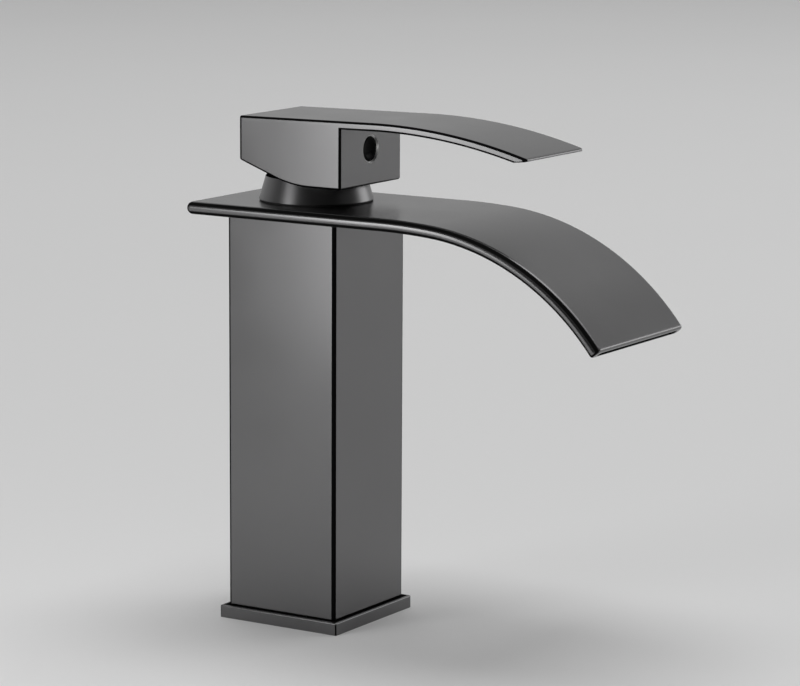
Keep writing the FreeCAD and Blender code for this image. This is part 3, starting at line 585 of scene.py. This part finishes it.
# Painted shade: where the cone's skin faces upward it is painted dark, in place of the dark
# reflections over it.
facing = node(tree, "ShaderNodeTexCoord").outputs["Normal"]
upward = node(tree, "ShaderNodeSeparateXYZ", {"Vector": facing}).outputs["Z"]
painted_shade(tree, shader, ramp(tree, upward, shaded_top_start, shaded_top_full))
fit(cone, "shroud", "root", cone_coating)
dress(rubber, "shroud_seal")


# Lever: a block and a long thin blade, cast in one, ground and coated like the column. The block
# is hollow over the shroud, and a round recess in its front takes the plug over the set screw.

lever_low, lever_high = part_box("lever_handle")
block_front = -0.0230
lever_rear_top = 0.181835
top_angle = math.radians(0.705)
blade_start = 0.0125
blade_radius = 0.215
blade_thickness = 0.00295
blade_steps = 32
undercut_length, tip_height = 0.0053, 0.001
sole_flat = -0.0102
sole_radius, sole_angle, sole_steps = 0.044, math.radians(20), 10
lever_edge, lever_corner, tip_roll, under_edge = 0.0009, 0.0015, 0.0006, 0.0004
cavity_radius, cavity_roof = 0.0164, 0.17844
relief_radius, relief_shift, relief_roof = 0.0189, -0.0015, 0.1636
recess_radius, recess_floor, screw_height = 0.00445, -0.0205, 0.1709
countersink = 0.00055
socket_half, socket_wall, socket_low, socket_high = 0.00405, 0.003, 0.16544, 0.17624
boss_radius, screw_hole = 0.0055, 0.00305

top_normal = Vector((0, math.sin(top_angle), math.cos(top_angle)))
top_point = Vector((0, lever_high.y, lever_rear_top))
blade_root = top_point + Vector((0, block_front - blade_start - lever_high.y, 0))
blade_root.z += (top_point.y - blade_root.y) * math.tan(top_angle)
blade_centre = blade_root - top_normal * blade_radius
tip_sweep = math.asin((blade_centre.y - lever_low.y) / blade_radius)
tip_top = blade_centre.z + blade_radius * math.cos(tip_sweep)
undercut_y = lever_low.y + undercut_length
tip_zone = 0.8 * undercut_y
inner_radius = blade_radius - blade_thickness
undercut_z = blade_centre.z + math.sqrt(inner_radius**2 - (undercut_y - blade_centre.y) ** 2)
undercut_rise = tip_top - tip_height - undercut_z


def sliced(point, normal, trim=True):
    """Cut what is selected at a plane, and close it where the far side is trimmed off."""
    bpy.ops.mesh.bisect(
        plane_co=point, plane_no=normal, use_fill=trim, clear_outer=trim, threshold=hair / 10
    )


def strip_over_front(face):
    height = face.calc_center_median().z
    return looks(face, (0, -1, 0)) and height > lever_rear_top - blade_thickness


def corner_in_plan(edge):
    ends = lever_low.y, lever_high.y
    return upright(edge) and min(abs(edge.verts[0].co.y - end) for end in ends) < hair


def edge_of_undercut(edge):
    under = [face for face in edge.link_faces if face.normal.z < -0.5]
    return all(face.calc_center_median().y < undercut_y for face in under) and len(under) == 1


def edge_over_tip(edge):
    return all(
        vert.co.y < lever_low.y + hair and vert.co.z > tip_top - 100 * hair for vert in edge.verts
    )


def outer_edge(edge):
    return edge.calc_face_angle_signed(0) > math.radians(30)


def plain_edge(edge):
    kinds = corner_in_plan, edge_of_undercut, edge_over_tip
    return outer_edge(edge) and not any(kind(edge) for kind in kinds)


def recess_rim(edge):
    return all(
        abs(vert.co.y - block_front) < hair
        and abs(math.hypot(vert.co.x, vert.co.z - screw_height) - recess_radius) < 10 * hair
        for vert in edge.verts
    )


def rim_face(face):
    middle = face.calc_center_median() - Vector((0, block_front, screw_height))
    return -0.8 < face.normal.y < -0.6 and middle.length < recess_radius + countersink


def cross_drum(name, radius, front, rear, sides=96):
    """A cylinder along the set screw's axis."""
    return drum(name, radius, front, rear, across=(0, screw_height), axis="Y", sides=sides)


lever_foot = lever_low.x, block_front, lever_low.z
lever = block("lever_body", lever_foot, lever_high + Vector((0, 0, overrun)))
edit(lever)
everything()
sliced(top_point, top_normal)
everything()
sliced(top_point - top_normal * blade_thickness, top_normal, trim=False)
choose("FACE", strip_over_front)
pushed((0, -blade_start, blade_start * math.tan(top_angle)))
swept(tip_sweep + 2 * top_angle, blade_centre, blade_steps)
everything()
sliced((0, lever_low.y, 0), (0, -1, 0))
choose("FACE", lambda face: face.calc_center_median().y < tip_zone)
sliced((0, undercut_y, undercut_z), (0, -undercut_rise, -undercut_length))
for step in range(1, sole_steps + 1):
    angle = sole_angle * step / sole_steps
    normal = Vector((0, math.sin(angle), -math.cos(angle)))
    everything()
    sliced(Vector((0, sole_flat, lever_low.z + sole_radius)) + normal * sole_radius, normal)
for kind, width in (
    (corner_in_plan, lever_corner),
    (lambda edge: outer_edge(edge) and edge_of_undercut(edge), under_edge),
    (edge_over_tip, tip_roll),
    (plain_edge, lever_edge),
):
    choose("EDGE", kind)
    bpy.ops.transform.edge_bevelweight(value=width / lever_corner)
done()
rounding = {"width": lever_corner, "segments": 6, "limit_method": "WEIGHT"}
apply(lever, "BEVEL", use_clamp_overlap=False, **rounding)
below = lever_low.z - overrun
carve(lever, drum("lever_cavity", cavity_radius, below, cavity_roof))
carve(lever, drum("lever_relief", relief_radius, below, relief_roof, across=(0, relief_shift)))
socket = Vector((socket_half, socket_half, 0))
wall = Vector((socket_wall, socket_wall, 0))
lower, upper = Vector((0, 0, socket_low)), Vector((0, 0, cavity_roof + overrun))
carve(lever, block("socket_boss", lower - socket - wall, upper + socket + wall), "UNION")
boss_front = -cavity_radius - overrun
carve(lever, cross_drum("screw_boss", boss_radius, boss_front, -socket_half), "UNION")
lower.z -= overrun
upper.z = socket_high
carve(lever, block("stem_socket", lower - socket, upper + socket))
carve(lever, cross_drum("screw_hole", screw_hole, recess_floor - overrun, 0))
carve(lever, cross_drum("plug_recess", recess_radius, block_front - overrun, recess_floor))
edit(lever)
choose("EDGE", recess_rim)
softened(countersink, segments=1)
done()
smooth(lever)
lever_coating, tree, shader = coated("coating_on_lever")
# Painted shade: the lever's rounded edges along its length, and those at the block's ends, are
# painted dark in place of their dark reflections.
sides = effect_in(tree, turn, Start=0.9985, Full=0.98)["Across"]
ends = effect_in(tree, turn, Start=0.93, Full=0.85)["Square"]
place = node(tree, "ShaderNodeTexCoord").outputs["Object"]
forward = node(tree, "ShaderNodeSeparateXYZ", {"Vector": place}).outputs["Y"]
on_block = maths(tree, "GREATER_THAN", forward, 2 * block_front)
ends = maths(tree, "MULTIPLY", ends, on_block)
painted_shade(tree, shader, maths(tree, "MAXIMUM", sides, ends))
fit(lever, "lever_handle", "lever", lever_coating)

bare_metal, tree, shader = finish("countersunk_bare_metal", metallic=1.0)
skin = effect_in(tree, grain, Grain_Scale=2500.0, Mottle_Scale=60.0)
coloured(tree, shader, skin["Mottle"], (0.88, 0.88, 0.87), (0.95, 0.95, 0.94))
roughened(tree, shader, skin["Grain"], 0.34, 0.42)
lever.data.materials.append(bare_metal)
edit(lever)
choose("FACE", rim_face)
lever.active_material_index = 1
bpy.ops.object.material_slot_assign()
done()


# Index plug: a small cap of polished black plastic with a dished face, pushed into the recess in
# the front of the lever's block to hide the set screw.

plug_low, plug_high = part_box("index_plug")
plug_radius = 0.0044
plug_head = 0.0016
plug_edge = 0.0003
plug_stem = 0.00295
dish_rings, dish_ring_width, dish_depth = 6, 0.0006, 0.0005

gloss, tree, shader = finish("polished_black_plastic")
skin = effect_in(tree, grain, Grain_Scale=1200.0, Mottle_Scale=200.0)
coloured(tree, shader, skin["Mottle"], (0.004, 0.004, 0.0045), (0.007, 0.007, 0.0075))
roughened(tree, shader, skin["Mottle"], 0.06, 0.12)
shader.inputs["Specular IOR Level"].default_value = 0.01

plug_face = plug_low.y
plug = cross_drum("plug_cap", plug_radius, plug_face, plug_face + plug_head, sides=64)
edit(plug)
choose("EDGE", lambda edge: all(vert.co.y < plug_face + hair for vert in edge.verts))
softened(plug_edge)
choose("FACE", lambda face: looks(face, (0, -1, 0)))
for ring in range(dish_rings):
    fall = dish_depth * (2 * (dish_rings - ring) - 1) / dish_rings**2
    bpy.ops.mesh.inset(thickness=dish_ring_width, depth=-fall if ring else 0)
choose("FACE", lambda face: looks(face, (0, 1, 0)))
bpy.ops.mesh.inset(thickness=plug_radius - plug_stem)
pushed((0, plug_high.y - recess_floor, 0))
done()
smooth(plug, degrees=40)
fit(plug, "index_plug", "lever", gloss)


# Fixing stud and nut: threaded steel, plated. The stud screws into the foot block and reaches down
# out of the base plate, and the long nut on it draws the tap down.

stud_low, stud_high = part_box("fixing_stud")
stud_radius = stud_high.x
thread_pitch = 0.00125
thread_depth = 0.00065
thread_sides = 24
end_chamfer = 0.0011

stud_y = (stud_low.y + stud_high.y) / 2
on_stud = (0, stud_y)
thread_turns = math.ceil((stud_high.z - stud_low.z) / thread_pitch) + 3
thread_root = stud_radius - thread_depth
crest = stud_low.z - thread_pitch
bpy.ops.mesh.primitive_plane_add(
    size=thread_pitch,
    rotation=(math.pi / 2, 0, 0),
    location=(thread_root + thread_pitch / 2, 0, crest),
)
stud = placed("threaded_stud")
edit(stud)
choose("VERT", lambda vert: vert.co.x > stud_radius)
bpy.ops.mesh.delete(type="VERT")
everything()
bpy.ops.mesh.subdivide(number_cuts=2)
choose("VERT", lambda vert: abs(vert.co.z - crest) < thread_pitch / 4)
bpy.ops.transform.translate(value=(thread_depth, 0, 0))
done()
apply(
    stud,
    "SCREW",
    axis="Z",
    screw_offset=thread_pitch,
    iterations=thread_turns,
    steps=thread_sides,
    render_steps=thread_sides,
    use_merge_vertices=True,
    merge_threshold=hair,
)
edit(stud)
everything()
bpy.ops.transform.translate(value=(0, stud_y, 0))
sliced((0, 0, stud_high.z), (0, 0, 1))
everything()
sliced((0, 0, stud_low.z), (0, 0, -1))
everything()
bpy.ops.mesh.normals_make_consistent(inside=False)
done()
turned_radius = stud_radius + thread_pitch / 4
end = drum("stud_end", turned_radius, stud_low.z, stud_high.z + overrun, on_stud)
edit(end)
choose("EDGE", lambda edge: at_height(edge, stud_low.z))
softened(end_chamfer, segments=1)
done()
carve(stud, end, "INTERSECT")
smooth(stud, degrees=25)
fit(stud, "fixing_stud", "root", steel)

nut_low, nut_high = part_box("fixing_nut")
nut_radius = nut_high.x
nut_chamfer = 0.0013
nut_bore = 0.00405
turning_room = 0.0001

nut = drum("hexagon_nut", nut_radius, nut_low.z, nut_high.z, on_stud, sides=6)
collar = drum("nut_turning", nut_radius + turning_room, nut_low.z, nut_high.z, on_stud)
edit(collar)
choose("EDGE", lambda edge: not upright(edge))
softened(nut_chamfer, segments=1)
done()
carve(nut, collar, "INTERSECT")
carve(nut, drum("nut_bore", nut_bore, nut_low.z - overrun, nut_high.z + overrun, on_stud))
smooth(nut, degrees=20)
fit(nut, "fixing_nut", "root", steel)


# Washer and clamp plate: two horseshoes on the stud, open to the hoses, that the nut presses up
# from below. The washer is moulded rubber, and the plate is stamped from steel sheet.

hose_across, hose_forward, hose_radius = 0.0065, 0.0065, 0.0063
stud_hole = 0.00405
washer_edge, clamp_edge = 0.0006, 0.0003


def horseshoe(name, cad_name, edge_round):
    """A disc with a wide mouth for the hoses and a hole for the stud."""
    low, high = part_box(cad_name)
    under, over = low.z - overrun, high.z + overrun
    piece = drum(name, high.x, low.z, high.z, sides=128)
    side, rear = hose_across + hose_radius, hose_radius - hose_forward
    mouth = block("hose_mouth", (-side, -high.x - overrun, under), (side, rear, over))
    edit(mouth)
    choose("EDGE", lambda edge: upright(edge) and edge.verts[0].co.y > -hose_forward)
    softened(hose_radius, segments=16)
    done()
    carve(piece, mouth)
    carve(piece, drum("stud_hole", stud_hole, under, over, on_stud))
    bevelled(piece, edge_round)
    smooth(piece)
    return piece


washer = horseshoe("rubber_horseshoe", "deck_washer", washer_edge)
fit(washer, "deck_washer", "root", rubber)
clamp = horseshoe("steel_horseshoe", "clamp_plate", clamp_edge)
fit(clamp, "clamp_plate", "root", steel)


# Floor, light and camera: a wide pale floor with softboxes overhead and on both sides, in a plain
# room that is pale, and that metal mirrors as darker on the camera's side. The camera looks at the
# tap at the photograph's angle.

floor_size = 12
room_light, room_front, room_back = 0.015, 0.03, 0.5
room_depth = (0.84, 0.54, 0)
front_end, back_start = -0.2, 0.5
camera_place = (-1.01481, -0.67556, 0.31099)
azimuth, elevation, roll = math.radians(-57.76), math.radians(9.847), math.radians(0.28)

bpy.ops.mesh.primitive_plane_add(size=floor_size)
floor = placed("floor")
paper, tree, shader = finish("pale_floor")
skin = effect_in(tree, grain, Grain_Scale=300.0, Mottle_Scale=2.0)
coloured(tree, shader, skin["Mottle"], (0.77, 0.77, 0.77), (0.79, 0.79, 0.79))
roughened(tree, shader, skin["Grain"], 0.7, 0.8)
floor.data.materials.append(paper)

world = bpy.data.worlds.new("studio")
bpy.context.scene.world = world
world.use_nodes = True
tree = world.node_tree
depth = {0: node(tree, "ShaderNodeTexCoord").outputs["Generated"], 1: room_depth}
depth = node(tree, "ShaderNodeVectorMath", depth, operation="DOT_PRODUCT").outputs["Value"]
mirrored = ramp(tree, depth, front_end, back_start, room_front, room_back)
path = node(tree, "ShaderNodeLightPath").outputs
in_metal = maths(tree, "MAXIMUM", path["Is Glossy Ray"], path["Is Transmission Ray"])
room = ramp(tree, in_metal, 0, 1, room_light, mirrored)
room = ramp(tree, path["Is Camera Ray"], 0, 1, room, room_back)
tree.links.new(room, tree.nodes["Background"].inputs["Color"])


def softbox(name, place, aim, size, power):
    """A lamp with a large flat front, turned to its aim."""
    bpy.ops.object.light_add(type="AREA", location=place)
    lamp = bpy.context.object
    lamp.name = lamp.data.name = name
    lamp.data.shape = "RECTANGLE"
    lamp.data.size, lamp.data.size_y = size
    lamp.data.energy = power
    lamp.rotation_mode = "QUATERNION"
    lamp.rotation_quaternion = (Vector(aim) - Vector(place)).to_track_quat("-Z", "Y")
    lamp.visible_camera = False


softbox("overhead", (0.2, 0.1, 6.0), aim=(0.2, 0.1, 0), size=(5, 5), power=251)
softbox("right_overhead", (2.7, -1.5, 5.2), aim=(0, 0, 0), size=(4, 4), power=63.4)
softbox("left_near", (-0.35, 0.14, 0.16), aim=(0, 0, 0.14), size=(0.10, 0.24), power=0.206)
softbox("left_back", (-0.48, 0.26, 0.24), aim=(0, 0, 0.12), size=(0.16, 0.16), power=0.186)
softbox("right_low", (2.56, -1.48, 0.62), aim=(0, 0, 0.1), size=(1.6, 0.9), power=7.54)

across, up = math.cos(elevation), math.sin(elevation)
back = Vector((math.sin(azimuth) * across, -math.cos(azimuth) * across, up))
bpy.ops.object.camera_add(location=camera_place)
camera = bpy.context.object
camera.rotation_mode = "QUATERNION"
camera.rotation_quaternion = (-back).to_track_quat("-Z", "Y") @ Quaternion((0, 0, 1), roll)
camera.data.sensor_fit = "HORIZONTAL"
camera.data.sensor_width = 36
camera.data.lens = 155.03
bpy.context.scene.camera = camera
bpy.context.scene.view_settings.view_transform = "Standard"
